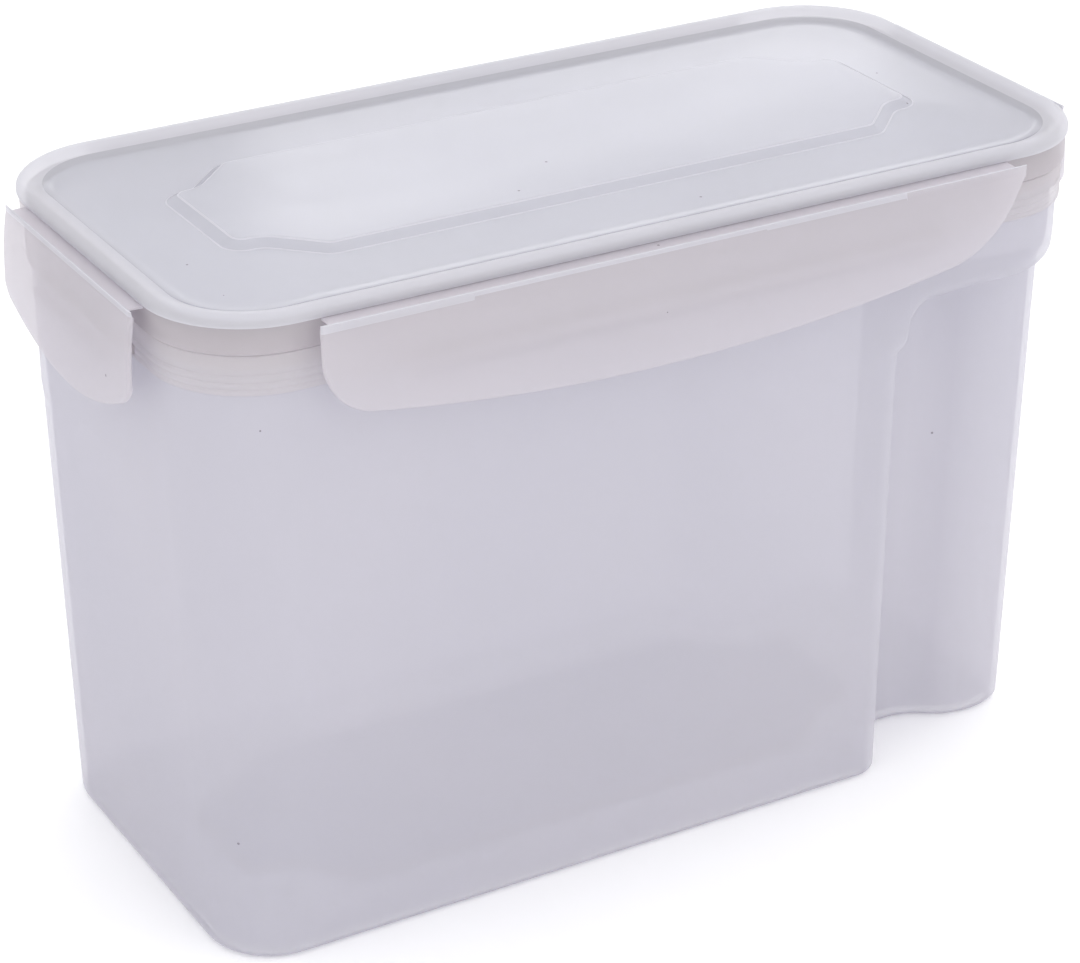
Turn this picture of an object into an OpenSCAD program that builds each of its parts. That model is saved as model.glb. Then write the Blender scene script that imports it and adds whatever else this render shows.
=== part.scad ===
// Food canister: a tall drafted tub with a hand grip moulded into one end,
// a lid with a silicone seal, and four clips that hang from the lid on
// living hinges. Origin at the middle of the base, +X towards the grip end,
// front is -Y. Millimetres.

/* [Lid] */
// Length of the lid over its bead
lid_l = 295; // [280:1:310]
// Width of the lid over its bead
lid_w = 144; // [138:1:150]
// Plan radius of the lid's corners
lid_r = 31; // [27:1:35]
// Height of the top of the bead above the table
lid_top = 203; // [195:1:215]
// Thickness of the lid's panel
panel_t = 1.5; // [1.2:0.1:2]
// Width of the round bead that runs along the edge
bead_w = 5; // [4:0.5:6]
// Height of the stepped plateau above the panel
plateau_h = 2.1; // [1:0.1:2.2]

/* [Tub] */
// Length of the tub at its foot
foot_l = 281.4; // [275:0.2:284]
// Width of the tub at its foot
foot_w = 130; // [124:0.5:134]
// Plan radius of the corners at the foot
foot_r = 21.5; // [16:0.5:26]
// Plan radius of the corners below the flange
shoulder_r = 28; // [24:1:30]
// Thickness of the walls
wall = 1.8; // [1.4:0.1:2.2]
// Thickness of the floor
floor_t = 2; // [1.6:0.1:3]
// Height of the step in the floor
floor_step = 2; // [1:0.5:3]

/* [Grip] */
// Distance from the middle to the step where the grip begins
grip_x = 80; // [70:1:86]
// Height of the top of the grip recess
grip_top = 158; // [140:1:162]
// Half width of the neck of the grip at the foot
neck_w = 40; // [36:0.5:44]
// Half width of the palm swell at the foot
swell_w = 48.7; // [46:0.5:52]

/* [Clips] */
// Distance from the lid's edge out to the hinge axis
hinge_reach = 4; // [3.5:0.1:5]
// Half length of the front and back clips
long_half = 113; // [100:1:116]
// Half length of the clips on the ends
short_half = 43.5; // [36:0.5:44]
// Thickness of a clip
clip_t = 1.8; // [1.5:0.1:2]
// Drop of the long clips below the hinge, at their deepest
long_drop = 34; // [30:0.5:36]
// Drop of the end clips below the hinge, at their deepest
short_drop = 36.8; // [32:0.4:38]

/* [Hidden] */

$fn = 64;
little = 0.2;
arc_steps = 8;

// the panel, and the rim channel under it, from the top down
panel_top = lid_top - 2.3;
panel_low = panel_top - panel_t;
skirt_low = 191.5;
plug_low = 193;
rim_top = 196.4;

// distances inwards from the lid's edge
skirt_out = 0.8;
skirt_in = 2.6;
rim_out = 3.2;
rim_in = 4.7;
plug_out = 6;
plug_in = 7.4;
panel_edge = 8.5;
flange_out = 1.6;

// the flange under the rim, and the catch ribs that stand out from it
flange_low = 179.5;
flange_high = 191;
rib_low = 181;
rib_high = 183.6;
rib_reach = 1.6;
long_rib_half = 88;
short_rib_half = 30;

// two shallow grooves run round the flange; each is given as [low, high]
grooves = [[181.3, 181.7], [183.1, 183.5]];
groove_in = 2;
groove_slope = 0.2;
flange_steps = concat(
    [[flange_low, flange_out]],
    [for (g = grooves) for (step = [
        [g[0] - groove_slope, flange_out], [g[0], groove_in],
        [g[1], groove_in], [g[1] + groove_slope, flange_out]
    ]) step],
    [[flange_high, flange_out], [flange_high, rim_out], [rim_top, rim_out], [rim_top, rim_in]]
);

// the tub under the flange
shoulder_in = 2.7;
shoulder_l = lid_l - 2 * shoulder_in;
shoulder_w = lid_w - 2 * shoulder_in;
foot_round = [[0, 3], [0.9, 1.2], [3.2, 0]];

// the grip's outline: a step, a fillet, a neck, a palm swell and an end corner
step_r = 8;
fillet_r = 8;
neck_r = 20;
swell_r = 24;
end_r = 9;
swell_back = 15.2;
roof_slope = 0.5;

// the stepped outlines of the plateau and of the floor
outline_r = 6;
plateau_half_l = 114;
plateau_tongue = 24;
plateau_half_w = 37;
floor_left = 116;
floor_right = 100;
floor_tongue = 21;
floor_half_w = 39;
floor_bend_left = 2;
floor_bend_right = 6;

// hinges: a round cord on the axis and a thin web that joins it to the skirt
hinge_z = lid_top - 4.2;
cord_r = 0.6;
web_t = 0.5;
cup_gap = 0.05;
knuckle_r = 1.5;
knuckle_from = 150;
hinge_end = 3;
catch_gap = 0.3;
catch_low = 178;
catch_high = 180.2;

// lower edges of the clips: a larger spread is flatter, dip is the deepest
// place, and the left and right corners have their own sizes
clip_bow = 1.1;
long_spread = 545;
long_dip = -8;
long_round_l = 14;
long_round_r = 26;
long_ridge_half = 86;
short_spread = 76;
short_round = 4;
short_ridge_half = 28;

milky = [0.88, 0.87, 0.91, 0.7];
flexed = [0.95, 0.95, 0.97, 0.8];

function mix(a, b, t) = a + (b - a) * t;
function arc(c, r, a0, a1) = [for (i = [0:arc_steps])
    [c.x + r * cos(mix(a0, a1, i / arc_steps)), c.y + r * sin(mix(a0, a1, i / arc_steps))]];
function mirrored(half) = [for (i = [len(half) - 1:-1:0]) [half[i].x, -half[i].y]];

// Front half of the tub's outline at height z, moved inwards by inset
function grip_half(z, inset) =
    let (
        t = z / flange_low,
        a = mix(foot_l, shoulder_l, t) / 2,
        b = mix(foot_w, shoulder_w, t) / 2,
        r = mix(foot_r, shoulder_r, t),
        grow = shoulder_w / foot_w,
        neck = neck_w * mix(1, grow, t),
        swell = swell_w * mix(1, grow, t),
        sx = a - swell_back,
        sy = swell - swell_r,
        turn = acos((neck + neck_r - sy) / (neck_r + swell_r)),
        nx = sx - (neck_r + swell_r) * sin(turn),
        last = asin((a - end_r - sx) / (swell_r - end_r)),
        ex = a - end_r,
        ey = sy + (swell_r - end_r) * cos(last)
    )
    concat(
        arc([r - a, r - b], r - inset, 180, 270),
        arc([grip_x - step_r, step_r - b], step_r - inset, 270, 360),
        arc([grip_x + fillet_r, -neck - fillet_r], fillet_r + inset, 180, 90),
        arc([nx, -neck - neck_r], neck_r + inset, 90, 90 - turn),
        arc([sx, -sy], swell_r - inset, 270 - turn, 270 + last),
        arc([ex, -ey], end_r - inset, 270 + last, 360)
    );
function grip_ring(z, inset) = concat(grip_half(z, inset), mirrored(grip_half(z, inset)));

// Front half of a plain rounded outline, with a point for each of the grip's
function plain_half(a, b, r) =
    let (
        from_x = grip_x - step_r,
        n = 3 * (arc_steps + 1),
        m = 2 * (arc_steps + 1)
    )
    concat(
        arc([r - a, r - b], r, 180, 270),
        [for (i = [0:n - 1]) [mix(from_x, a - r, i / n), -b]],
        [for (i = [0:m - 1]) [a - r + r * sin(90 * i / (m - 1)), r - b - r * cos(90 * i / (m - 1))]]
    );
function plain_ring(a, b, r) = let (half = plain_half(a, b, r)) concat(half, mirrored(half));

// The tub's outline above the grip, and an outline parallel to the lid's edge
function shoulder_ring(z, inset) =
    let (t = z / flange_low)
    plain_ring(mix(foot_l, shoulder_l, t) / 2 - inset, mix(foot_w, shoulder_w, t) / 2 - inset,
               mix(foot_r, shoulder_r, t) - inset);
function edge_ring(inset) = plain_ring(lid_l / 2 - inset, lid_w / 2 - inset, lid_r - inset);

// Front left quarter of the stepped outline shared by the lid and the floor
function step_quarter(half_l, tongue, half_w, bend, r, inset) =
    let (
        rise = half_w - tongue - 2 * r * (1 - cos(45)),
        out_x = half_l - r - bend
    )
    concat(
        arc([r - half_l, r - tongue], r - inset, 180, 270),
        arc([-out_x, -tongue - r], r + inset, 90, 45),
        arc([-out_x + 2 * r * sin(45) + rise, r - half_w], r - inset, 225, 270)
    );
function flipped(quarter) = [for (i = [len(quarter) - 1:-1:0]) [-quarter[i].x, quarter[i].y]];
function step_ring(left, right) =
    let (front = concat(left, flipped(right)))
    concat(front, mirrored(front));

// Lid plateau, and the step in the floor that echoes it
function plateau_ring(inset) =
    let (q = step_quarter(plateau_half_l, plateau_tongue, plateau_half_w, 0, outline_r, inset))
    step_ring(q, q);
function floor_ring(inset) =
    step_ring(
        step_quarter(floor_left, floor_tongue, floor_half_w, floor_bend_left, outline_r, inset),
        step_quarter(floor_right, floor_tongue, floor_half_w, floor_bend_right, outline_r, inset)
    );

// Solid between outlines of equal length; levels are [z, outline]. Each end is
// closed by strips from front to back, and the strip beside the grip's step
// takes in the step's straight wall
module loft(levels) {
    n = len(levels[0][1]);
    last = len(levels) - 1;
    step_wall = 2 * arc_steps + 1;
    points = [for (l = levels) for (p = l[1]) [p.x, p.y, l[0]]];
    sides = [for (k = [0:last - 1]) for (i = [0:n - 1]) let (j = (i + 1) % n)
        [k * n + i, (k + 1) * n + i, (k + 1) * n + j, k * n + j]];
    low = [for (i = [0:n / 2 - 2]) if (i != step_wall)
        i == step_wall - 1 ? [i, i + 1, i + 2, n - 3 - i, n - 2 - i, n - 1 - i]
        : [i, i + 1, n - 2 - i, n - 1 - i]];
    high = [for (f = low) [for (k = [len(f) - 1:-1:0]) last * n + f[k]]];
    polyhedron(points, concat(low, sides, high), convexity = 8);
}

module rounded_plan(l, w, r) {
    square([l - 2 * r, w], center = true);
    square([l, w - 2 * r], center = true);
    for (x = [r - l / 2, l / 2 - r], y = [r - w / 2, w / 2 - r]) translate([x, y]) circle(r);
}

// Runs a section round the lid's plan; the section's x is the distance from
// the corner's centre and its y is the height
module round_rim() {
    for (k = [0:3]) {
        hx = (k % 2 == 0 ? lid_l : lid_w) / 2 - lid_r;
        hy = (k % 2 == 0 ? lid_w : lid_l) / 2 - lid_r;
        rotate(90 * k) translate([hx, hy, 0]) {
            rotate_extrude(angle = 90) children();
            rotate([90, 0, 0]) linear_extrude(2 * hy) children();
        }
    }
}

// Puts a front piece, made about its hinge axis along X, on one side
module on_side(turn) {
    out = (turn % 180 == 0 ? lid_w : lid_l) / 2 + hinge_reach;
    rotate(turn) translate([0, -out, hinge_z]) children();
}

module catch_rib(turn, half) {
    edge = (turn % 180 == 0 ? lid_w : lid_l) / 2;
    rotate(turn) translate([-half, -edge - rib_reach, rib_low])
        cube([2 * half, rib_reach + rim_out, rib_high - rib_low]);
}

// One skin: up the outside, over the rim and down the inside to the floor
module tub() color([0.86, 0.86, 0.91, 0.6]) {
    roof = grip_top + wall;
    difference() {
        union() {
            loft(concat(
                [for (f = foot_round) [f[0], grip_ring(f[0], f[1])]],
                [[grip_top - roof_slope, grip_ring(grip_top, 0)], [grip_top, shoulder_ring(grip_top, 0)],
                 [flange_low, shoulder_ring(flange_low, 0)]],
                [for (f = flange_steps) [f[0], edge_ring(f[1])]],
                [[flange_low, shoulder_ring(flange_low, wall)], [roof, shoulder_ring(roof, wall)],
                 [roof - roof_slope, grip_ring(roof, wall)], [floor_t, grip_ring(floor_t, wall)]]
            ));
            for (turn = [0, 180]) catch_rib(turn, long_rib_half);
            for (turn = [90, 270]) catch_rib(turn, short_rib_half);
            translate([0, 0, floor_t / 2]) linear_extrude(floor_step + floor_t / 2)
                polygon(floor_ring(-wall));
        }
        translate([0, 0, -1]) linear_extrude(1 + floor_step) polygon(floor_ring(0));
    }
}

module lid() color([0.9, 0.9, 0.94, 0.6]) {
    skirt_top = panel_top - 1;
    bead_low = panel_top - 0.4;
    rim_end = lid_r - panel_edge - 1;
    round_rim() {
        polygon([
            [lid_r - skirt_out, skirt_low], [lid_r - skirt_out, skirt_top],
            [lid_r, bead_low], [lid_r, panel_top],
            [lid_r - bead_w, panel_top], [rim_end, panel_top],
            [rim_end, panel_low], [lid_r - plug_in, panel_low],
            [lid_r - plug_in, plug_low], [lid_r - plug_out, plug_low],
            [lid_r - plug_out, panel_low], [lid_r - skirt_in, panel_low],
            [lid_r - skirt_in, skirt_low]
        ]);
        intersection() {
            translate([lid_r - bead_w / 2, lid_top - bead_w / 2]) circle(bead_w / 2);
            translate([lid_r - bead_w, panel_top - little]) square([bead_w, bead_w]);
        }
    }
    difference() {
        union() {
            translate([0, 0, panel_low]) linear_extrude(panel_t)
                rounded_plan(lid_l - 2 * panel_edge, lid_w - 2 * panel_edge, lid_r - panel_edge);
            translate([0, 0, panel_top - little]) linear_extrude(plateau_h + little)
                polygon(plateau_ring(0));
        }
        translate([0, 0, panel_low - 1]) linear_extrude(plateau_h + 1) polygon(plateau_ring(panel_t));
    }
}

// Hollow-backed ring that sits in the channel between skirt and plug
module seal() color([0.93, 0.91, 0.92, 0.8]) {
    side_gap = 0.1;
    seal_out = lid_r - skirt_in - side_gap;
    seal_in = lid_r - plug_out + side_gap;
    seal_low = rim_top + catch_gap;
    lip = 0.8;
    round_rim() polygon([
        [seal_out, seal_low + lip], [seal_out, panel_low], [seal_in, panel_low],
        [seal_in, seal_low + lip], [seal_in + lip, seal_low], [seal_out - lip, seal_low]
    ]);
}

// A clip hanging from its hinge axis: bowed plate, knuckle, and catch ridge.
// dip is where the lower edge is deepest, and round_l and round_r are the
// sizes of its lower corners
module clip(half, drop, spread, dip, round_l, round_r, ridge_half) {
    rows = 12;
    columns = 20;
    beyond = 4;
    root = 0.3;
    ridge_y = clip_t - knuckle_r - clip_bow - root;
    deepest = drop + 2;
    face = [for (i = [0:rows]) let (t = i / rows) [-knuckle_r - clip_bow * sin(135 * t), -deepest * t]];
    back_face = [for (i = [rows:-1:1]) [face[i].x + clip_t, face[i].y]];
    edge_l = [for (i = [0:arc_steps]) -half + round_l * (1 - cos(90 * i / arc_steps))];
    edge_r = [for (i = [arc_steps:-1:0]) half - round_r * (1 - cos(90 * i / arc_steps))];
    function lift(x) =
        x < round_l - half ? round_l - sqrt(max(0, round_l * round_l - (round_l - half - x) ^ 2))
        : x > half - round_r ? round_r - sqrt(max(0, round_r * round_r - (x + round_r - half) ^ 2))
        : 0;
    function low(x) = -drop + (x - dip) ^ 2 / (2 * spread) + lift(x);
    middle = [for (i = [1:columns]) mix(round_l - half, half - round_r, i / (columns + 1))];
    xs = concat(edge_l, middle, edge_r);
    difference() {
        intersection() {
            translate([-half, 0, 0]) rotate([90, 0, 90]) linear_extrude(2 * half) {
                polygon(concat(face, back_face, [[clip_t - knuckle_r, -cord_r]]));
                intersection() {
                    circle(knuckle_r);
                    polygon([
                        [0, 0], beyond * [cos(knuckle_from), sin(knuckle_from)],
                        [-beyond, -beyond], [root, -beyond]
                    ]);
                }
            }
            translate([0, beyond, 0]) rotate([90, 0, 0]) linear_extrude(2 * beyond)
                polygon(concat([[half, beyond], [-half, beyond]], [for (x = xs) [x, low(x)]]));
        }
        translate([-half - 1, 0, 0]) rotate([0, 90, 0]) cylinder(r = cord_r + cup_gap, h = 2 * half + 2);
    }
    translate([-ridge_half, ridge_y, catch_low - hinge_z])
        cube([2 * ridge_half, hinge_reach - rib_reach - catch_gap - ridge_y, catch_high - catch_low]);
}

// Living hinge: web from the skirt to a round cord on the axis
module hinge(half) {
    span = half - hinge_end;
    translate([-span, 0, 0]) rotate([0, 90, 0]) cylinder(r = cord_r, h = 2 * span);
    translate([-span, 0, -web_t / 2]) cube([2 * span, hinge_reach + skirt_out, web_t]);
}

module long_clip()
    clip(long_half, long_drop, long_spread, long_dip, long_round_l, long_round_r, long_ridge_half);
module short_clip()
    clip(short_half, short_drop, short_spread, 0, short_round, short_round, short_ridge_half);

module front_clip() color(milky) on_side(0) long_clip();
module back_clip() color(milky) mirror([0, 1, 0]) on_side(0) long_clip();
module left_clip() color(milky) on_side(270) short_clip();
module right_clip() color(milky) on_side(90) short_clip();
module front_hinge() color(flexed) on_side(0) hinge(long_half);
module back_hinge() color(flexed) on_side(180) hinge(long_half);
module left_hinge() color(flexed) on_side(270) hinge(short_half);
module right_hinge() color(flexed) on_side(90) hinge(short_half);

tub();
lid();
seal();
front_clip();
back_clip();
left_clip();
right_clip();
front_hinge();
back_hinge();
left_hinge();
right_hinge();
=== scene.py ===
"""Food canister in milky polypropylene, in metres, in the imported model's frame."""
import math

import bmesh
import bpy
from mathutils import Matrix, Vector


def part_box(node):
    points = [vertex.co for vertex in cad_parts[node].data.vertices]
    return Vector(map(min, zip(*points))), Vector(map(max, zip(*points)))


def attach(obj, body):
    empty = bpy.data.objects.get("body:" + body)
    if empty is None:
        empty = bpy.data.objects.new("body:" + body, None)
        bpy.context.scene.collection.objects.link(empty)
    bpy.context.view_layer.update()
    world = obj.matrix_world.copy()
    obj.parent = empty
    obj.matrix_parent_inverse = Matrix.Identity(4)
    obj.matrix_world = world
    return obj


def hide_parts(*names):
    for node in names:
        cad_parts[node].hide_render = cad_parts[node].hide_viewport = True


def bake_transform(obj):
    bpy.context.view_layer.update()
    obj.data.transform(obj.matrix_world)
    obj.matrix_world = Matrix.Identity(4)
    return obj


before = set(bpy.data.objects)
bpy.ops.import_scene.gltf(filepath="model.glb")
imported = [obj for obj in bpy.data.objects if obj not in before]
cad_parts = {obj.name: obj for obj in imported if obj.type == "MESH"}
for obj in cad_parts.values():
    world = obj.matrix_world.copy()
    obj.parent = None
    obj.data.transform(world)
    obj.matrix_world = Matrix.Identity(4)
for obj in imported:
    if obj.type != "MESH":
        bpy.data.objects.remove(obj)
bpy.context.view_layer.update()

MM = 0.001

# ---------------------------------------------------------------- sizes, mm


def box_mm(node):
    """Lowest and highest corner of a CAD node, in millimetres."""
    low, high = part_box(node)
    return low / MM, high / MM


lid_low, lid_high = box_mm("lid")
film_low, film_high = box_mm("front_hinge")

LID_HALF_L, LID_HALF_W, LID_TOP = lid_high
LID_R = 31
SKIRT_LOW = lid_low.z
RIM_TOP = box_mm("tub")[1].z
HINGE_Z = (film_low.z + film_high.z) / 2
# the fold lines lie this far outside the lid's edge
HINGE_REACH = 4
LONG_HALF = -box_mm("front_clip")[0].x
SHORT_HALF = box_mm("left_clip")[1].y

PANEL_TOP = LID_TOP - 2.3
PANEL_T = 1.5
PANEL_CROWN = 0.45
PANEL_BORDER = 14
BEAD_R = 2.5
WALL = 1.8
FLOOR_T = 2
FLOOR_STEP = 2
FLOOR_ROUND = 3

FOOT_HALF_L, FOOT_HALF_W, FOOT_R = 140.7, 65, 21.5
SHOULDER_IN, SHOULDER_R = 2.7, 28
SHOULDER_HALF_L, SHOULDER_HALF_W = LID_HALF_L - SHOULDER_IN, LID_HALF_W - SHOULDER_IN
FLANGE_LOW = 179.5
FLANGE_INSET, RIM_INSET = 1.6, 3.2
GROOVE_HEIGHTS, GROOVE_DEPTH = (181.3, 183.2, 185.4), 0.15
FOOT_ROUND = 3.2

# heights of the tub's rings between its foot and its grip's roof, and above the roof
GRIP_LEVELS = (20, 50, 80, 110, 136)
BOX_LEVELS = (168, 174, 178.6, 179.2)

GRIP_X, GRIP_TOP = 80, 158
STEP_R, FILLET_R, NECK_R, SWELL_R, END_R = 8, 8, 20, 24, 9
NECK_W, SWELL_W, SWELL_BACK = 40, 48.7, 15.2
ROOF_CORNER, ROOF_FILLET, ROOF_ROUND, ROOF_RISE = 13, 4, 7, 0.4
CORNER_STEPS = 16
QUARTER_TURN = [math.radians(15 * k) for k in range(7)]

# ---------------------------------------------------------------- outlines


def mix(a, b, t):
    """Value between a and b."""
    return a + (b - a) * t


def arc(cx, cy, r, start, end, steps):
    """Points of an arc, angles in degrees."""
    turn = [math.radians(mix(start, end, i / steps)) for i in range(steps + 1)]
    return [(cx + r * math.cos(t), cy + r * math.sin(t)) for t in turn]


def mirrored(half):
    """A front half followed by its reflection in the XZ plane."""
    return half + [(x, -y) for x, y in reversed(half)]


def edge_ring(inset, steps=18):
    """Outline parallel to the lid's edge."""
    a, b, r = LID_HALF_L - inset, LID_HALF_W - inset, LID_R - inset
    return mirrored(arc(r - a, r - b, r, 180, 270, steps) + arc(a - r, r - b, r, 270, 360, steps))


def outer_size(z, inset):
    """Half length, half width and corner radius of the tub's drafted box."""
    t = z / FLANGE_LOW
    return (mix(FOOT_HALF_L, SHOULDER_HALF_L, t) - inset,
            mix(FOOT_HALF_W, SHOULDER_HALF_W, t) - inset,
            mix(FOOT_R, SHOULDER_R, t) - inset)


def grip_half(z, inset):
    """Front half of the tub's outline with the grip, at height z."""
    a, b, r = (v + inset for v in outer_size(z, inset))
    grow = mix(1, SHOULDER_HALF_W / FOOT_HALF_W, z / FLANGE_LOW)
    neck, swell = NECK_W * grow, SWELL_W * grow
    sx, sy = a - SWELL_BACK, swell - SWELL_R
    turn = math.degrees(math.acos((neck + NECK_R - sy) / (NECK_R + SWELL_R)))
    nx = sx - (NECK_R + SWELL_R) * math.sin(math.radians(turn))
    last = math.degrees(math.asin((a - END_R - sx) / (SWELL_R - END_R)))
    ex, ey = a - END_R, sy + (SWELL_R - END_R) * math.cos(math.radians(last))
    return (arc(r - a, r - b, r - inset, 180, 270, CORNER_STEPS)
            + arc(GRIP_X - STEP_R, STEP_R - b, STEP_R - inset, 270, 360, 8)
            + arc(GRIP_X + FILLET_R, -neck - FILLET_R, FILLET_R + inset, 180, 90, 8)
            + arc(nx, -neck - NECK_R, NECK_R + inset, 90, 90 - turn, 10)
            + arc(sx, -sy, SWELL_R - inset, 270 - turn, 270 + last, 28)
            + arc(ex, -ey, END_R - inset, 270 + last, 360, 8))


def plain_half(z, inset):
    """The box outline above the grip, with one point outside each of grip_half's."""
    a, b, r = outer_size(z, inset)
    cx, cy = a - r, r - b
    points = []
    for i, (x, y) in enumerate(grip_half(z, inset)):
        if i <= CORNER_STEPS:
            points.append((x, y))
        elif x < cx:
            points.append((x, -b))
        elif y < cy:
            away = Vector((x - cx, y - cy)).normalized() * r
            points.append((cx + away.x, cy + away.y))
        else:
            points.append((a, y))
    return points


def step_half(left, right, inset):
    """Front half of the stepped outline that the lid's plateau and the floor share."""
    quarters = []
    for half_l, tongue, half_w, bend, r in (left, right):
        rise = half_w - tongue - 2 * r * (1 - math.cos(math.radians(45)))
        out_x = half_l - r - bend
        side = -out_x + 2 * r * math.sin(math.radians(45)) + rise
        quarters.append(arc(r - half_l, r - tongue, r - inset, 180, 270, 8)
                        + arc(-out_x, -tongue - r, r + inset, 90, 45, 6)
                        + arc(side, r - half_w, r - inset, 225, 270, 6))
    return quarters[0] + [(-x, y) for x, y in reversed(quarters[1])]


# half length, half width at the end, half width between, straight run, corner radius
PLATEAU = (114, 24, 38, 0, 7)
FLOOR_LEFT = (116, 21, 39, 2, 7)
FLOOR_RIGHT = (100, 21, 39, 6, 7)


def plateau_ring(inset):
    """Outline of the lid's plateau."""
    return mirrored(step_half(PLATEAU, PLATEAU, inset))


def floor_ring(inset):
    """Outline of the stepped platform in the floor."""
    return mirrored(step_half(FLOOR_LEFT, FLOOR_RIGHT, inset))


# ---------------------------------------------------------------- mesh tools


class Shell:
    """A mesh made of closed rings that are bridged, and flat areas that are filled."""

    def __init__(self):
        self.bm = bmesh.new()

    def ring(self, points):
        """Vertices at points given in millimetres."""
        return [self.bm.verts.new([v * MM for v in p]) for p in points]

    def flat(self, outline, z):
        """Ring at one height."""
        return self.ring([(x, y, z) for x, y in outline])

    def bridge(self, rings, closed=False, finish=0):
        """Quads between rings; finish is the number of the material they take."""
        pairs = list(zip(rings, rings[1:]))
        if closed:
            pairs.append((rings[-1], rings[0]))
        for low, high in pairs:
            for i in range(len(low)):
                j = (i + 1) % len(low)
                self.bm.faces.new((low[i], low[j], high[j], high[i])).material_index = finish

    def fill(self, *rings):
        """Flat faces between rings: the first is the border, and others are holes."""
        edges = []
        for ring in rings:
            for a, b in zip(ring, ring[1:] + ring[:1]):
                edges.append(self.bm.edges.get((a, b)) or self.bm.edges.new((a, b)))
        bmesh.ops.triangle_fill(self.bm, use_beauty=True, edges=edges)

    def piece(self, name, materials, body, sharp=40, replaces=(), blend=None):
        """Finishes the mesh as an object that rides on a body, or, when blend is given, stands free
        with its transform baked in.
        """
        bmesh.ops.remove_doubles(self.bm, verts=self.bm.verts, dist=1e-6)
        bmesh.ops.holes_fill(self.bm, edges=[e for e in self.bm.edges if e.is_boundary])
        bmesh.ops.recalc_face_normals(self.bm, faces=self.bm.faces)
        limit = math.radians(sharp)
        for edge in self.bm.edges:
            edge.smooth = edge.calc_face_angle(math.pi) < limit
        for face in self.bm.faces:
            face.smooth = True
        mesh = bpy.data.meshes.new(name)
        self.bm.to_mesh(mesh)
        self.bm.free()
        for material in materials:
            mesh.materials.append(material)
        obj = bpy.data.objects.new(name, mesh)
        bpy.context.scene.collection.objects.link(obj)
        if blend:
            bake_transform(obj)
        else:
            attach(obj, body)
        if replaces:
            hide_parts(*replaces)
        return obj


# ---------------------------------------------------------------- materials

CLOUD_SHARE = 0.15
PEEL_SHARE = 0.006
SPECK_SIZE, SPECK_SHARE = 0.045, 0.09
SPECK_COLOUR = (0.33, 0.31, 0.33, 1)
THROUGH_COLOUR = (0.97, 0.965, 0.985, 1)
SMOOTH, COARSE = 0.85, 1.2


def node(tree, kind, **values):
    """A shader node with some of its inputs or properties set."""
    made = tree.nodes.new(kind)
    for key, value in values.items():
        if hasattr(made, key):
            setattr(made, key, value)
        else:
            made.inputs[key.replace("_", " ")].default_value = value
    return made


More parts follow.
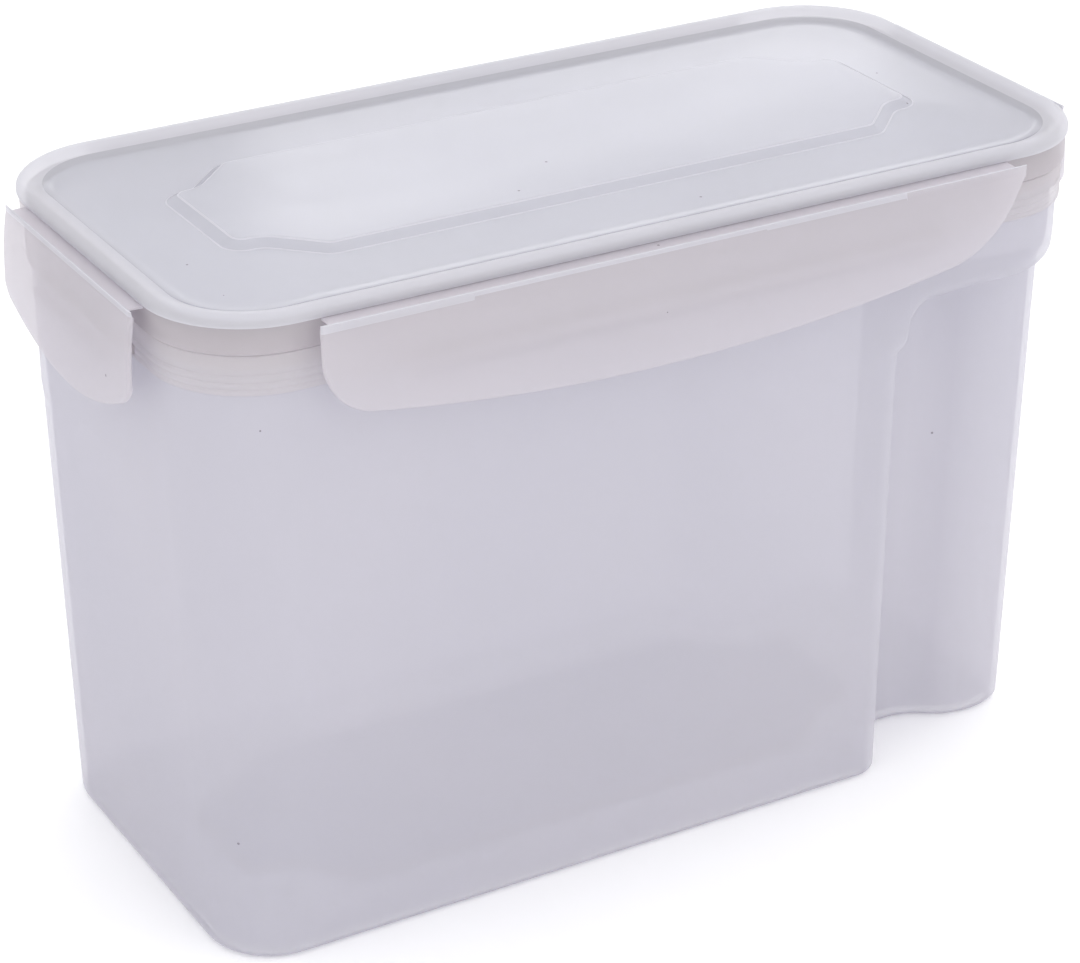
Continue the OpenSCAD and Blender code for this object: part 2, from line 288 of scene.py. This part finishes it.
def milky_plastic(name, colour, warm, clear, through, rough, ripple, gloss_level=0.35):
    """Polypropylene: part of the light goes straight through, and part is scattered on
    either side. The skin has faint flow ripples and dust specks. Its roughness stays
    wholly above or wholly below 0.27, where the renderer's denoiser leaves patches."""
    material = bpy.data.materials.new(name)
    material.use_nodes = True
    tree = material.node_tree
    tree.nodes.clear()
    link = tree.links.new
    place = node(tree, "ShaderNodeTexCoord")

    # slow change of shade where the melt flowed, and a fine cloudiness
    flow = node(tree, "ShaderNodeTexNoise", Scale=9.0, Detail=1.0, Roughness=0.5)
    cloud = node(tree, "ShaderNodeTexNoise", Scale=160.0, Detail=2.0, Roughness=0.6)
    both = node(tree, "ShaderNodeMath", operation="MULTIPLY_ADD")
    both.inputs[1].default_value = CLOUD_SHARE
    shade = node(tree, "ShaderNodeMapRange", From_Min=0.35, From_Max=0.8)
    tint = node(tree, "ShaderNodeMix", data_type="RGBA")
    tint.inputs[6].default_value = (*colour, 1)
    tint.inputs[7].default_value = (*warm, 1)
    link(place.outputs["Object"], flow.inputs["Vector"])
    link(place.outputs["Object"], cloud.inputs["Vector"])
    link(cloud.outputs["Fac"], both.inputs[0])
    link(flow.outputs["Fac"], both.inputs[2])
    link(both.outputs[0], shade.inputs["Value"])
    link(shade.outputs[0], tint.inputs[0])

    # dust moulded into the skin
    grain = node(tree, "ShaderNodeTexVoronoi", Scale=110.0)
    inside = node(tree, "ShaderNodeMath", operation="LESS_THAN")
    inside.inputs[1].default_value = SPECK_SIZE
    pick = node(tree, "ShaderNodeSeparateColor")
    few = node(tree, "ShaderNodeMath", operation="LESS_THAN")
    few.inputs[1].default_value = SPECK_SHARE
    speck = node(tree, "ShaderNodeMath", operation="MULTIPLY")
    dusty = node(tree, "ShaderNodeMix", data_type="RGBA")
    dusty.inputs[7].default_value = SPECK_COLOUR
    link(place.outputs["Object"], grain.inputs["Vector"])
    link(grain.outputs["Distance"], inside.inputs[0])
    link(grain.outputs["Color"], pick.inputs[0])
    link(pick.outputs[0], few.inputs[0])
    link(inside.outputs[0], speck.inputs[0])
    link(few.outputs[0], speck.inputs[1])
    link(speck.outputs[0], dusty.inputs[0])
    link(tint.outputs[2], dusty.inputs[6])

    # the gloss is uneven, and long ripples and fine orange peel bend the reflections
    wave = node(tree, "ShaderNodeTexNoise", Scale=14.0, Detail=1.0, Roughness=0.4)
    orange = node(tree, "ShaderNodeTexNoise", Scale=420.0, Detail=0.0, Roughness=0.5)
    heights = node(tree, "ShaderNodeMath", operation="MULTIPLY_ADD")
    heights.inputs[1].default_value = PEEL_SHARE
    bump = node(tree, "ShaderNodeBump", Strength=1.0, Distance=ripple)
    gloss = node(tree, "ShaderNodeMapRange", From_Min=0.3, From_Max=0.7,
                 To_Min=rough * SMOOTH, To_Max=rough * COARSE)
    link(place.outputs["Object"], wave.inputs["Vector"])
    link(place.outputs["Object"], orange.inputs["Vector"])
    link(orange.outputs["Fac"], heights.inputs[0])
    link(wave.outputs["Fac"], heights.inputs[2])
    link(heights.outputs[0], bump.inputs["Height"])
    link(cloud.outputs["Fac"], gloss.inputs["Value"])

    skin = node(tree, "ShaderNodeBsdfPrincipled", IOR=1.49)
    skin.inputs["Specular IOR Level"].default_value = gloss_level
    glow = node(tree, "ShaderNodeBsdfTranslucent")
    scatter = node(tree, "ShaderNodeMixShader", Fac=through)
    see = node(tree, "ShaderNodeBsdfTransparent")
    see.inputs["Color"].default_value = THROUGH_COLOUR
    body = node(tree, "ShaderNodeMixShader", Fac=clear)
    out = node(tree, "ShaderNodeOutputMaterial")
    link(dusty.outputs[2], skin.inputs["Base Color"])
    link(dusty.outputs[2], glow.inputs["Color"])
    link(gloss.outputs[0], skin.inputs["Roughness"])
    link(bump.outputs[0], skin.inputs["Normal"])
    link(skin.outputs[0], scatter.inputs[1])
    link(glow.outputs[0], scatter.inputs[2])
    link(scatter.outputs[0], body.inputs[1])
    link(see.outputs[0], body.inputs[2])
    link(body.outputs[0], out.inputs["Surface"])
    return material


tub_pp = milky_plastic("tub_pp", (0.705, 0.697, 0.745), (0.73, 0.718, 0.758),
                       clear=0.43, through=0.45, rough=0.38, ripple=0.0004)
flange_pp = milky_plastic("flange_pp", (0.685, 0.65, 0.66), (0.705, 0.67, 0.68),
                          clear=0.36, through=0.4, rough=0.38, ripple=0.0004)
lid_pp = milky_plastic("lid_pp", (0.645, 0.65, 0.70), (0.665, 0.67, 0.71),
                       clear=0.34, through=0.4, rough=0.1, ripple=0.0003, gloss_level=0.75)
# lighter, less clear copy of the lid plastic: on the bead partly its thicker wall and partly a
# painted highlight, and on the plateau's shoulders and the clips' tops a painted highlight line
thick_bead_and_highlight_pp = milky_plastic("thick_bead_and_highlight_pp", (0.71, 0.71, 0.755), (0.73, 0.725, 0.765),
                        clear=0.24, through=0.35, rough=0.38, ripple=0.0003)
# pinker, clearer copy of the lid plastic for the skirt: the dark band there is partly the layers of
# skirt, seal and rim behind it, and partly painted shade under the bead
skirt_shade_pp = milky_plastic("skirt_shade_pp", (0.70, 0.665, 0.685), (0.72, 0.685, 0.705),
                         clear=0.45, through=0.4, rough=0.38, ripple=0.0003)
clip_pp = milky_plastic("clip_pp", (0.73, 0.705, 0.74), (0.75, 0.72, 0.75),
                        clear=0.38, through=0.38, rough=0.38, ripple=0.0004)
# lighter and less clear than the clip: painted light that lifts the shade in the groove between the
# bead and the clip
film_painted_light_pp = milky_plastic("film_painted_light_pp", (0.76, 0.735, 0.775), (0.78, 0.75, 0.785),
                        clear=0.25, through=0.5, rough=0.38, ripple=0.0002)
# the seal is dark: partly its own colour seen through the skirt, partly painted shade under the bead
silicone = milky_plastic("silicone", (0.50, 0.48, 0.50), (0.54, 0.51, 0.53),
                         clear=0.15, through=0.5, rough=0.6, ripple=0.0002)

# ---------------------------------------------------------------- tub


def roof_drop(x):
    """How far the grip's roof sinks towards the step, which it meets in a round corner."""
    short = min(max(GRIP_X + ROOF_CORNER - x, 0), ROOF_CORNER)
    return ROOF_CORNER - math.sqrt(ROOF_CORNER ** 2 - short ** 2)


def roof_rings(inset, lift):
    """Rings from the grip's walls out over its roof to the full box above it."""
    inner = mirrored(grip_half(GRIP_TOP, inset))
    outer = mirrored(plain_half(GRIP_TOP, inset))
    rings = []
    samples = ([("fillet", t) for t in QUARTER_TURN] + [("roof", 0.5)]
               + [("round", t) for t in QUARTER_TURN])
    for kind, t in samples:
        ring = []
        for (gx, gy), (px, py) in zip(inner, outer):
            gap = math.hypot(px - gx, py - gy)
            r1, r2 = min(ROOF_FILLET, 0.4 * gap), min(ROOF_ROUND, 0.55 * gap)
            if kind == "fillet":
                along, z = r1 * (1 - math.cos(t)), ROOF_FILLET * (math.sin(t) - 1)
            elif kind == "roof":
                along, z = mix(r1, gap - r2, t), ROOF_RISE * t
            else:
                along = gap - r2 * (1 - math.sin(t))
                z = ROOF_RISE + ROOF_ROUND * (1 - math.cos(t))
            share = along / gap if gap > 1e-6 else 0
            height = GRIP_TOP + lift + z - roof_drop(gx)
            ring.append((mix(gx, px, share), mix(gy, py, share), height))
        rings.append(ring)
    return rings


def tub_edge_ring(inset):
    """Outline parallel to the lid's edge with as many points as the tub's rings."""
    a, b, r = LID_HALF_L - inset, LID_HALF_W - inset, LID_R - inset
    cx, cy = a - r, r - b
    ring = []
    base_a, base_b, base_r = outer_size(FLANGE_LOW, 0)
    bx, by = base_a - base_r, base_r - base_b
    for x, y in plain_half(FLANGE_LOW, 0):
        if x < -bx and y < by:
            away = Vector((x + bx, y - by)).normalized() * r
            ring.append((away.x - cx, cy + away.y))
        elif x > bx and y < by:
            away = Vector((x - bx, y - by)).normalized() * r
            ring.append((cx + away.x, cy + away.y))
        elif abs(x) <= bx:
            ring.append((x, -b))
        else:
            ring.append((math.copysign(a, x), y * cy / by if y < by else y))
    return mirrored(ring)


def rim_profile():
    """Inset from the lid's edge and height, from the flange's foot over the rim and down inside."""
    flange, rim = FLANGE_INSET, RIM_INSET
    bottom = flange + GROOVE_DEPTH
    profile = [(1.9, 179.55), (1.65, 179.8), (flange, 180.2), (flange, 181.0)]
    for z in GROOVE_HEIGHTS:
        profile += [(flange, z - 0.3), (bottom, z - 0.1), (bottom, z + 0.1), (flange, z + 0.3)]
    profile += [(flange, 188), (flange, 190.5), (1.75, 190.85), (2.1, 191), (3.0, 191), (rim, 191.2)]
    profile += [(rim, 195.9), (3.35, 196.25), (3.7, RIM_TOP)]
    profile += [(4.2, RIM_TOP), (4.55, 196.25), (4.7, 195.9), (4.7, 191), (4.5, 186)]
    return profile


def build_tub():
    """One closed shell: up the outside, over the rim, down the inside, and both floors."""
    shell = Shell()
    levels = [(FOOT_ROUND * (1 - math.cos(t)), FOOT_ROUND * (1 - math.sin(t))) for t in QUARTER_TURN]
    levels += [(z, 0) for z in GRIP_LEVELS]
    outside = [shell.flat(mirrored(grip_half(z, inset)), z) for z, inset in levels]
    outside += [shell.ring(r) for r in roof_rings(0, 0)]
    outside += [shell.flat(mirrored(plain_half(z, 0)), z) for z in BOX_LEVELS]
    outside.append(shell.flat(tub_edge_ring(2.5), FLANGE_LOW))

    rim = [shell.flat(tub_edge_ring(inset), z) for inset, z in rim_profile()]

    inside = [shell.flat(mirrored(plain_half(z, WALL)), z) for z in (180.4, 178, 172)]
    inside += [shell.ring(r) for r in reversed(roof_rings(WALL, WALL))]
    inside += [shell.flat(mirrored(grip_half(z, WALL)), z) for z in reversed(GRIP_LEVELS)]
    for t in QUARTER_TURN:
        z = FLOOR_T + FLOOR_ROUND * (1 - math.sin(t))
        inside.append(shell.flat(mirrored(grip_half(z, WALL + FLOOR_ROUND * (1 - math.cos(t)))), z))
    shell.bridge(outside + rim[:1])
    shell.bridge(rim, finish=1)
    shell.bridge(rim[-1:] + inside)

    # floor: a stepped platform, seen from below as a shallow recess
    for edge, wide, low, high in ((outside[0], 0, 0, FLOOR_STEP),
                                  (inside[-1], -WALL, FLOOR_T, FLOOR_T + FLOOR_STEP)):
        slope = [shell.flat(floor_ring(wide + inset), z) for inset, z in
                 ((-1.0, low), (-0.6, low + 0.1), (0.6, high - 0.1), (1.0, high))]
        shell.bridge(slope, finish=1)
        shell.fill(edge, slope[0])
        shell.fill(slope[-1])
    shell.piece("tub_shell", [tub_pp, flange_pp], "tub", replaces=["tub"])


def build_catch_rib(name, turn, edge, half):
    """Low rib with rounded ends that stands out from the flange for a clip to catch."""
    low, high, reach, sink = 181, 183.6, 1.6, 1.8
    shell = Shell()
    section = [(0, 0), (0.55, 0.08), (0.85, 0.3), (1, 0.75), (0.97, 1), (0.8, 1), (0, 1)]
    ends = [(-half, 0.25), (-half + 0.4, 0.8), (-half + 1.2, 1)]
    rings = []
    for x, size in ends + [(-x, size) for x, size in reversed(ends)]:
        ring = []
        for out, up in section:
            p = Vector((x, -(edge - sink) - out * size * (reach + sink), mix(low, high, up)))
            ring.append(Matrix.Rotation(math.radians(turn), 3, "Z") @ p)
        rings.append(shell.ring(ring))
    shell.bridge(rings)
    shell.fill(rings[0])
    shell.fill(rings[-1])
    shell.piece(name, [flange_pp], "tub")


# ---------------------------------------------------------------- lid


def build_lid():
    """One closed shell: the section is swept round the lid's edge, and the plateau fills it."""
    shell = Shell()
    skirt_out, skirt_in, plug_out, plug_in = 0.8, 2.6, 6, 7.4
    low, plug_low, flank_in = PANEL_TOP - PANEL_T, 193, 11
    trough = PANEL_TOP - PANEL_CROWN

    # the bead: an S-curve up from the panel, then an arc over its crown
    profile = [(PANEL_BORDER, trough)]
    for k in range(11):
        t = k / 10
        profile.append((mix(flank_in, BEAD_R, t),
                        mix(trough, LID_TOP, (1 - math.cos(math.pi * t)) / 2)))
    for k in range(1, 11):
        t = math.radians(11.5 * k)
        profile.append((BEAD_R - BEAD_R * math.sin(t), LID_TOP - BEAD_R + BEAD_R * math.cos(t)))

    # the skirt's outside and inside, the seal's channel, the plug, and back to the panel
    profile += [(skirt_out + 0.1, PANEL_TOP - 1.3), (skirt_out, PANEL_TOP - 1.7),
                (skirt_out, SKIRT_LOW + 0.5), (skirt_out + 0.12, SKIRT_LOW + 0.15),
                (skirt_out + 0.5, SKIRT_LOW), (skirt_in - 0.4, SKIRT_LOW),
                (skirt_in - 0.05, SKIRT_LOW + 0.3), (skirt_in, SKIRT_LOW + 0.8)]
    profile += [(skirt_in, low - 0.3), (skirt_in + 0.3, low), (plug_out - 0.3, low),
                (plug_out, low - 0.3)]
    profile += [(plug_out, plug_low + 0.5), (plug_out + 0.2, plug_low + 0.1),
                (plug_out + 0.7, plug_low), (plug_in - 0.2, plug_low + 0.1),
                (plug_in, plug_low + 0.5), (plug_in, low - 0.6), (plug_in + 0.6, low - 0.2),
                (PANEL_BORDER, low - PANEL_CROWN)]
    rings = [shell.flat(edge_ring(inset), z) for inset, z in profile]
    bead_from = next(i for i, (inset, z) in enumerate(profile) if z > PANEL_TOP + 0.4)
    skirt_from = next(i for i, (inset, z) in enumerate(profile) if inset == skirt_out)
    panel_again = len(profile) - 3
    shell.bridge(rings[:bead_from + 1])
    # the bead takes the lighter plastic, partly for its thicker wall and partly as a painted
    # highlight
    shell.bridge(rings[bead_from:skirt_from], finish=1)
    # the skirt takes its own copy of the plastic, partly painted shade under the bead
    shell.bridge(rings[skirt_from - 1:panel_again + 1], finish=2)
    shell.bridge(rings[panel_again:])

    # plateau: a sloping edge with soft shoulders, whose narrow strips take the lighter bead plastic
    # as painted highlight lines, and the same step underneath
    top = LID_TOP - 0.15
    shoulders = [(-0.6, 0), (-0.1, 0), (0.15, 0.03), (0.35, 0.09)]
    shoulders += [(3.3, 0.9), (3.6, 0.98), (3.9, 1), (4.6, 1)]
    for edge, wide, base, level in ((rings[0], 0, PANEL_TOP, top),
                                    (rings[-1], 1.2, low, top - PANEL_T)):
        rise = level - base
        slope = [shell.flat(plateau_ring(wide + inset), base + up * rise) for inset, up in shoulders]
        shell.bridge(slope[:2])
        shell.bridge(slope[1:4], finish=1)
        shell.bridge(slope[3:5])
        shell.bridge(slope[4:7], finish=1)
        shell.bridge(slope[6:])
        shell.fill(edge, slope[0])
        shell.fill(slope[-1])
    shell.piece("lid_shell", [lid_pp, thick_bead_and_highlight_pp, skirt_shade_pp], "lid", replaces=["lid"])


def build_seal():
    """Silicone ring in the channel between the skirt and the plug."""
    shell = Shell()
    out, inn, lip, chamfer = 2.75, 5.85, 0.8, 0.25
    low, high = RIM_TOP + 0.3, PANEL_TOP - PANEL_T - 0.02
    profile = [(out, low + lip), (out, high), (inn, high), (inn, low + lip)]
    profile += [(inn - chamfer, low + chamfer), (inn - lip, low)]
    profile += [(out + lip, low), (out + chamfer, low + chamfer)]
    shell.bridge([shell.flat(edge_ring(inset), z) for inset, z in profile], closed=True)
    # the seal's dark colour is partly painted shade under the bead
    shell.piece("seal_ring", [silicone], "lid", replaces=["seal"])


# ---------------------------------------------------------------- clips


def build_clip(name, body, turn, edge, half, drop, spread, dip, round_l, round_r,
               ridge_half, strips, shoulder=0, flip=1):
    """Bowed plate that hangs from its hinge axis. strips gives the height of the chamfer
    along the top, as (end, height) from left to right, and the top takes the lighter bead
    plastic as a painted highlight; shoulder is how far the top is rounded inwards."""
    thick, bow, knuckle, rim = 1.8, 1.1, 1.5, 0.7
    deepest, shoulder_h, ridge_foot = drop + 2, 12, -22
    face_rows, end_rows = 24, 8
    shell = Shell()

    def low_edge(x):
        """Height of the lower edge: a shallow curve with a round at each end."""
        lift = 0
        if x < round_l - half:
            lift = round_l - math.sqrt(max(0, round_l ** 2 - (round_l - half - x) ** 2))
        elif x > half - round_r:
            lift = round_r - math.sqrt(max(0, round_r ** 2 - (x + round_r - half) ** 2))
        return min(-drop + (x - dip) ** 2 / (2 * spread) + lift, -3)

    def face_y(z):
        """Where the outer face stands at a height, bowed and rounded in at the top."""
        down = min(max(-z / deepest, 0), 1)
        back = shoulder * (1 - math.sin(math.pi / 2 * min(max(-z / shoulder_h, 0), 1)))
        return back - knuckle - bow * math.sin(math.radians(135 * down))

    def strip_height(x):
        return next((h for end, h in strips if x <= end), strips[-1][1])

    columns = [-half + rim * (1 - math.cos(math.radians(15 * k))) for k in range(7)]
    columns += [mix(rim - half, round_l - half, k / 10) for k in range(1, 10)]
    columns += [mix(max(round_l, rim) - half, half - max(round_r, rim), k / 48) for k in range(49)]
    columns += [mix(half - round_r, half - rim, k / 12) for k in range(1, 12)]
    columns += [half - rim * (1 - math.cos(math.radians(15 * k))) for k in range(6, -1, -1)]
    for end, _ in strips[:-1]:
        columns += [end - 0.15, end + 0.15]
    for end in (-ridge_half, ridge_half):
        columns += [end - 0.1, end + 0.1]
    columns = sorted(set(round(c, 4) for c in columns))

    # height and reach of the catch ridge on the inner face
    ridge = [(-21.6, 0), (-21.0, 0.12), (-20.6, 1.9), (-20.1, 2.75)]
    ridge += [(-19.2, 2.9), (-18.8, 2.75), (-18.6, 0.2)]
    peak, top_y = 0.75, 0.8 * shoulder
    rings = []
    for x in columns:
        near = min(x + half, half - x)
        swell = max(0.3, math.sqrt(max(0, 1 - (1 - min(near / rim, 1)) ** 2)))
        t = thick * swell
        low = low_edge(x)
        strip = strip_height(x)
        section = []
        # down the outer face, round the lower edge, and up the inner face over the ridge
        for k in range(face_rows + 1):
            z = mix(-strip, low + t / 2, k / face_rows)
            section.append((face_y(z) + (thick - t) / 2, z))
        y_mid, z_mid = face_y(low + t / 2) + thick / 2, low + t / 2
        for k in range(1, end_rows):
            turn_k = math.radians(180 * k / end_rows)
            section.append((y_mid - t / 2 * math.cos(turn_k), z_mid - t / 2 * math.sin(turn_k)))
        bar = 1 if abs(x) <= ridge_half else 0
        for k in range(6):
            z = mix(z_mid, max(z_mid, ridge_foot), k / 5)
            section.append((face_y(z) + (thick + t) / 2, z))
        for z, reach in ridge:
            z = max(z, z_mid)
            section.append((face_y(z) + (thick + t) / 2 + reach * bar * swell, z))
        for z in (-16, -12, -8, -4, -1.6):
            z = max(z, z_mid)
            section.append((face_y(z) + (thick + t) / 2, z))
        # over the knuckle to the strip's upper edge
        section += [(top_y - 0.45, -0.8), (top_y - 0.72, 0), (top_y - 0.72, peak - 0.15),
                    (top_y - 0.85, peak), (top_y - 1.05, peak), (top_y - 1.25, peak - 0.12)]
        ring = []
        for y, z in section:
            p = Vector((x, y * flip, z))
            p.y -= flip * (edge + HINGE_REACH)
            p = Matrix.Rotation(math.radians(turn), 3, "Z") @ p
            ring.append((p.x, p.y, p.z + HINGE_Z))
        rings.append(shell.ring(ring))
    shell.bridge(rings)
    # the faces along the top take the lighter bead plastic as a painted highlight
    top_row = HINGE_Z - 0.45
    for face in shell.bm.faces:
        if face.calc_center_median().z > top_row * MM:
            face.material_index = 1
    shell.piece(name, [clip_pp, thick_bead_and_highlight_pp], body, sharp=35, replaces=[body])


def build_film(name, body, turn, edge, half, flip=1, root=0):
    """Living hinge: a web that thins to the fold line and roots in the clip's top."""
    shell = Shell()
    end, count = half - 3, 60
    outline = [(4.6, 0.32), (3.6, 0.28), (2.4, 0.25), (1.6, 0.24), (1.0, 0.21), (0.5, 0.19),
               (0.2, 0.18), (root - 0.3, 0.22), (root - 0.55, 0.3), (root - 0.8, 0.3)]
    rings = []
    for k in range(count + 1):
        x = mix(-end, end, k / count)
        ring = []
        for y, z in outline + [(y, -z) for y, z in reversed(outline)]:
            p = Vector((x, flip * (y - edge - HINGE_REACH), z + HINGE_Z))
            ring.append(Matrix.Rotation(math.radians(turn), 3, "Z") @ p)
        rings.append(shell.ring(ring))
    shell.bridge(rings)
    shell.fill(rings[0])
    shell.fill(rings[-1])
    spin = Matrix.Rotation(math.radians(turn), 3, "Z")
    axis_y, bend_in, bend_out = -edge - HINGE_REACH, 0.9, 0.35
    start = spin @ Vector((0, flip * (axis_y + bend_in), HINGE_Z)) * MM
    stop = spin @ Vector((0, flip * (axis_y - bend_out), HINGE_Z)) * MM
    # the film's lighter plastic is painted light in the shaded groove
    shell.piece(name, [film_painted_light_pp], body, sharp=50,
                replaces=[name.replace("film", "hinge")], blend=("lid", body, start, stop))


build_tub()
build_lid()
build_seal()
LONG = dict(edge=LID_HALF_W, half=LONG_HALF, drop=34, spread=545, dip=-8,
            round_l=14, round_r=26, ridge_half=86,
            strips=((-68, 1.5), (24, 0.5), (71, 0.9), (LONG_HALF, 1.7)))
SHORT = dict(edge=LID_HALF_L, half=SHORT_HALF, drop=36.8, spread=76, dip=0,
             round_l=4, round_r=4, ridge_half=28, shoulder=0.9,
             strips=((SHORT_HALF, 0.7),))
LONG_RIB_HALF, SHORT_RIB_HALF = 88, 30
END_ROOT = 0.45
build_clip("front_clip_plate", "front_clip", 0, **LONG)
build_clip("back_clip_plate", "back_clip", 0, flip=-1, **LONG)
build_clip("left_clip_plate", "left_clip", 270, **SHORT)
build_clip("right_clip_plate", "right_clip", 90, **SHORT)
build_film("front_film", "front_clip", 0, LID_HALF_W, LONG_HALF)
build_film("back_film", "back_clip", 0, LID_HALF_W, LONG_HALF, flip=-1)
build_film("left_film", "left_clip", 270, LID_HALF_L, SHORT_HALF, root=END_ROOT)
build_film("right_film", "right_clip", 90, LID_HALF_L, SHORT_HALF, root=END_ROOT)
for side, turn, edge, half in (("front", 0, LID_HALF_W, LONG_RIB_HALF),
                               ("right", 90, LID_HALF_L, SHORT_RIB_HALF),
                               ("back", 180, LID_HALF_W, LONG_RIB_HALF),
                               ("left", 270, LID_HALF_L, SHORT_RIB_HALF)):
    build_catch_rib(side + "_catch_rib", turn, edge, half)

# ---------------------------------------------------------------- studio


def build_floor():
    """Pale matt table, which the dome lights almost to white."""
    mesh = bpy.data.meshes.new("studio_floor")
    bm = bmesh.new()
    bmesh.ops.create_grid(bm, x_segments=8, y_segments=8, size=3)
    bm.to_mesh(mesh)
    bm.free()
    floor = bpy.data.objects.new("studio_floor", mesh)
    bpy.context.scene.collection.objects.link(floor)
    pale = bpy.data.materials.new("pale_floor")
    pale.use_nodes = True
    shader = pale.node_tree.nodes["Principled BSDF"]
    shader.inputs["Base Color"].default_value = (0.97, 0.97, 0.98, 1)
    shader.inputs["Roughness"].default_value = 0.9
    shader.inputs["Specular IOR Level"].default_value = 0.1
    mesh.materials.append(pale)


def direction(azimuth, elevation):
    """Unit vector, degrees; azimuth 0 is +Y and 90 is +X."""
    a, e = math.radians(azimuth), math.radians(elevation)
    return Vector((math.sin(a) * math.cos(e), math.cos(a) * math.cos(e), math.sin(e)))


def build_dome():
    """Light tent: a white dome, a little brighter overhead and dimmer towards the left,
    with one softbox low behind the object for the sheen on the lid."""
    ambient, overhead, box_light, left_dim = 1.435, 0.28, 2.15, 0.4
    azimuth, elevation, roll = 32, 19.1, math.radians(17.6)
    half_w, half_h, soft = 0.13, 0.0245, 0.008
    world = bpy.data.worlds.new("studio")
    world.use_nodes = True
    world.cycles.sampling_method = "NONE"
    tree = world.node_tree
    link = tree.links.new
    place = node(tree, "ShaderNodeTexCoord")
    centre = direction(azimuth, elevation)
    level = direction(azimuth + 90, 0)
    upward = level.cross(centre)
    along_box = math.cos(roll) * level - math.sin(roll) * upward
    across_box = math.sin(roll) * level + math.cos(roll) * upward
    masks = []
    for axis, half in ((along_box, half_w), (across_box, half_h)):
        along = node(tree, "ShaderNodeVectorMath", operation="DOT_PRODUCT")
        along.inputs[1].default_value = axis
        size = node(tree, "ShaderNodeMath", operation="ABSOLUTE")
        fade = node(tree, "ShaderNodeMapRange", interpolation_type="SMOOTHSTEP",
                    From_Min=half + soft, From_Max=half - soft, To_Min=0.0, To_Max=1.0)
        link(place.outputs["Generated"], along.inputs[0])
        link(along.outputs["Value"], size.inputs[0])
        link(size.outputs[0], fade.inputs["Value"])
        masks.append(fade.outputs[0])
    ahead = node(tree, "ShaderNodeVectorMath", operation="DOT_PRODUCT")
    ahead.inputs[1].default_value = centre
    front = node(tree, "ShaderNodeMath", operation="GREATER_THAN")
    up = node(tree, "ShaderNodeSeparateXYZ")
    across_room = node(tree, "ShaderNodeMapRange", From_Min=-1.0, From_Max=1.0,
                       To_Min=-left_dim, To_Max=0.0)
    high_and_side = node(tree, "ShaderNodeMath", operation="ADD")
    high = node(tree, "ShaderNodeMapRange", interpolation_type="SMOOTHSTEP",
                From_Min=0.45, From_Max=0.95, To_Min=ambient, To_Max=ambient + overhead)
    box = node(tree, "ShaderNodeMath", operation="MULTIPLY")
    box_front = node(tree, "ShaderNodeMath", operation="MULTIPLY")
    total = node(tree, "ShaderNodeMath", operation="MULTIPLY_ADD")
    total.inputs[1].default_value = box_light
    link(place.outputs["Generated"], ahead.inputs[0])
    link(ahead.outputs["Value"], front.inputs[0])
    link(place.outputs["Generated"], up.inputs[0])
    link(up.outputs["Z"], high.inputs["Value"])
    link(masks[0], box.inputs[0])
    link(masks[1], box.inputs[1])
    link(box.outputs[0], box_front.inputs[0])
    link(front.outputs[0], box_front.inputs[1])
    link(box_front.outputs[0], total.inputs[0])
    link(up.outputs["X"], across_room.inputs["Value"])
    link(high.outputs[0], high_and_side.inputs[0])
    link(across_room.outputs[0], high_and_side.inputs[1])
    link(high_and_side.outputs[0], total.inputs[2])
    link(total.outputs[0], tree.nodes["Background"].inputs["Strength"])
    tree.nodes["Background"].inputs["Color"].default_value = (1, 1, 1, 1)
    bpy.context.scene.world = world


def build_studio():
    """Floor, dome, view transform and the number of bounces for thin translucent walls."""
    build_floor()
    build_dome()
    scene = bpy.context.scene
    scene.view_settings.view_transform = "Standard"
    scene.cycles.max_bounces = 8
    scene.cycles.diffuse_bounces = 4
    scene.cycles.glossy_bounces = 2
    scene.cycles.transmission_bounces = 4
    scene.cycles.transparent_max_bounces = 16


def build_camera():
    """Seen from the front left and above, through a long lens."""
    azimuth, elevation, roll = math.radians(-29.4), math.radians(26.49), math.radians(-0.44)
    distance, aim_right, aim_up = 1.088, -0.00488, 0.08345
    back = Vector((math.sin(azimuth) * math.cos(elevation), -math.cos(azimuth) * math.cos(elevation),
                   math.sin(elevation)))
    level = Vector((math.cos(azimuth), math.sin(azimuth), 0))
    upright = back.cross(level)
    right = math.cos(roll) * level + math.sin(roll) * upright
    up = math.cos(roll) * upright - math.sin(roll) * level
    data = bpy.data.cameras.new("camera")
    data.sensor_width, data.lens = 36, 114.72
    camera = bpy.data.objects.new("camera", data)
    turn = Matrix((right, up, back)).transposed().to_4x4()
    place = back * distance + right * aim_right + up * aim_up
    camera.matrix_world = Matrix.Translation(place) @ turn
    bpy.context.scene.collection.objects.link(camera)
    bpy.context.scene.camera = camera


build_studio()
build_camera()
